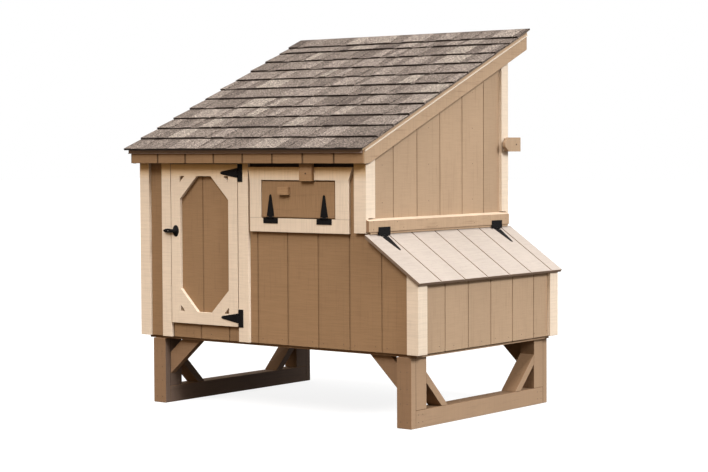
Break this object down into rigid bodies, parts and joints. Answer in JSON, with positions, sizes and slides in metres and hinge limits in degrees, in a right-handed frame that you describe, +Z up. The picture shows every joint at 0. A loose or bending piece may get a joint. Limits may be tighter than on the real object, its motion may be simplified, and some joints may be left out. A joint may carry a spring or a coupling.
{
  "type": "chicken coop",
  "caption": "Lean-to hen house on a timber skid base, with a trimmed door, a drop-down vent flap, a nest box under a sloping hinged lid and a shingled roof.",
  "frame": {"origin": "centre of the box around the whole coop, on the ground under its skids", "axes": "+Z up, the door side faces -Y, the nest box is at +X"},
  "size_m": [1.943, 1.523, 2.0459],
  "materials": {
    "siding_paint": "tan paint on rough-sawn grooved plywood, matt",
    "trim_paint": "cream paint on rough-sawn boards, matt",
    "lid_paint": "cream paint on grooved plywood, matt",
    "frame_paint": "tan paint on planed two-by lumber, matt",
    "bare_wood": "unpainted softwood and plywood",
    "shingle": "grey-brown mineral granules on asphalt, rough",
    "black_iron": "black powder coat, satin"
  },
  "bodies": {
    "house": {"door_lower_hinge_plate": "black_iron", "door_upper_hinge_plate": "black_iron", "floor_frame": "frame_paint", "floor_panel": "bare_wood", "front_fascia": "siding_paint", "front_left_corner_trim": "trim_paint", "front_right_corner_trim": "trim_paint", "front_wall": "siding_paint", "left_door_jamb": "trim_paint", "left_front_knee_brace": "frame_paint", "left_front_leg": "frame_paint", "left_front_side_brace": "frame_paint", "left_rake": "siding_paint", "left_rear_leg": "frame_paint", "left_rear_side_brace": "frame_paint", "left_skid": "frame_paint", "left_wall": "siding_paint", "lid_catch_block": "siding_paint", "lid_front_hinge_plate": "black_iron", "lid_hinge_rail": "siding_paint", "lid_rear_hinge_plate": "black_iron", "nest_front_corner_trim": "trim_paint", "nest_partitions": "bare_wood", "nest_rear_corner_trim": "trim_paint", "nest_wall": "siding_paint", "rear_left_corner_trim": "trim_paint", "rear_right_corner_trim": "trim_paint", "rear_wall": "siding_paint", "right_door_jamb": "trim_paint", "right_front_knee_brace": "frame_paint", "right_front_leg": "frame_paint", "right_front_side_brace": "frame_paint", "right_rake": "siding_paint", "right_rear_knee_brace": "frame_paint", "right_rear_leg": "frame_paint", "right_rear_side_brace": "frame_paint", "right_skid": "frame_paint", "right_wall": "siding_paint", "roof_deck": "bare_wood", "roof_frame": "frame_paint", "roof_shingles": "shingle", "roost": "bare_wood", "vent_frame": "trim_paint", "vent_left_hinge_plate": "black_iron", "vent_right_hinge_plate": "black_iron"},
    "door": {"door_panel": "siding_paint", "door_trim": "trim_paint", "door_lower_hinge_strap": "black_iron", "door_upper_hinge_strap": "black_iron"},
    "latch": {"door_latch_lever": "black_iron"},
    "vent_door": {"vent_flap": "siding_paint", "vent_flap_pull": "siding_paint", "vent_left_hinge_strap": "black_iron", "vent_right_hinge_strap": "black_iron"},
    "vent_button": {"vent_turn_button": "siding_paint"},
    "lid": {"nest_lid": "lid_paint", "lid_front_hinge_strap": "black_iron", "lid_rear_hinge_strap": "black_iron"},
    "lid_catch": {"lid_catch_button": "siding_paint"}
  },
  "joints": [
    {"name": "door_hinge", "type": "hinge", "parent": "house", "child": "door", "pos_m": [-0.22, -0.6868, 0.876], "axis": [0, 0, 1], "range_deg": [0, 150]},
    {"name": "door_latch_turn", "type": "hinge", "parent": "door", "child": "latch", "pos_m": [-0.6675, -0.6915, 0.944], "axis": [0, 1, 0], "range_deg": [0, 90]},
    {"name": "vent_flap_hinge", "type": "hinge", "parent": "house", "child": "vent_door", "pos_m": [0.1905, -0.6868, 1.0285], "axis": [1, 0, 0], "range_deg": [0, 170]},
    {"name": "vent_button_turn", "type": "hinge", "parent": "house", "child": "vent_button", "pos_m": [0.2585, -0.6923, 1.257], "axis": [0, 1, 0], "range_deg": [0, 180]},
    {"name": "nest_lid_hinge", "type": "hinge", "parent": "house", "child": "lid", "pos_m": [0.6558, -0.0445, 0.94568], "axis": [0, -1, 0], "range_deg": [0, 115]},
    {"name": "lid_catch_turn", "type": "hinge", "parent": "house", "child": "lid_catch", "pos_m": [0.6615, 0.6175, 1.401], "axis": [1, 0, 0], "range_deg": [0, 90]}
  ]
}
